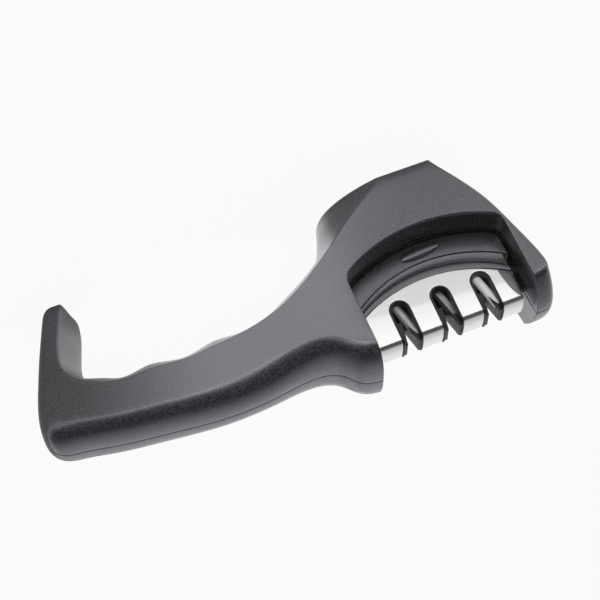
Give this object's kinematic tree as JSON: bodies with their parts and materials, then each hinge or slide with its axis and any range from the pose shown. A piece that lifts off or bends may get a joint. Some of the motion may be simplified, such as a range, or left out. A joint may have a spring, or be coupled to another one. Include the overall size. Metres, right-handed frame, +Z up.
{
  "type": "three_stage_knife_sharpener",
  "caption": "Hand-held pull-through knife sharpener: arched dark handle with a hooked end, and a slotted cartridge under a polished steel cover.",
  "frame": {"origin": "on the resting face of the base, under the middle knife slot, in the plane where the housing halves meet", "axes": "+Z up out of the knife slots, +X from the head towards the hooked end of the handle, +Y towards the half that holds the screw heads"},
  "size_m": [0.2109, 0.0496, 0.0759],
  "materials": {
    "dark_housing": "satin with a fine grain",
    "dark_cartridge": "satin with a fine grain",
    "liner_plastic": "satin",
    "cover_steel": "polished with a faint grain along the sheet",
    "screw_steel": "plain",
    "pad_rubber": "matt",
    "coarse_rod": "fine abrasive grit",
    "carbide": "ground",
    "ceramic": "fine-grained white ceramic"
  },
  "bodies": {
    "handle": {"front_shell": "dark_housing", "rear_shell": "dark_housing", "shell_screws": "screw_steel", "base_pad": "pad_rubber"},
    "cartridge": {"cartridge_front": "dark_cartridge", "cartridge_rear": "dark_cartridge", "cartridge_screws": "screw_steel", "steel_cover": "cover_steel", "liner_coarse": "liner_plastic", "liner_carbide": "liner_plastic", "liner_ceramic": "liner_plastic", "coarse_rod_front": "coarse_rod", "coarse_rod_rear": "coarse_rod", "carbide_blade_front": "carbide", "carbide_blade_rear": "carbide", "ceramic_rod_front": "ceramic", "ceramic_rod_rear": "ceramic"}
  },
  "joints": [
    {"name": "cartridge_lift", "type": "slide", "parent": "handle", "child": "cartridge", "axis": [0, 0, 1], "range_m": [0, 0.05]}
  ]
}
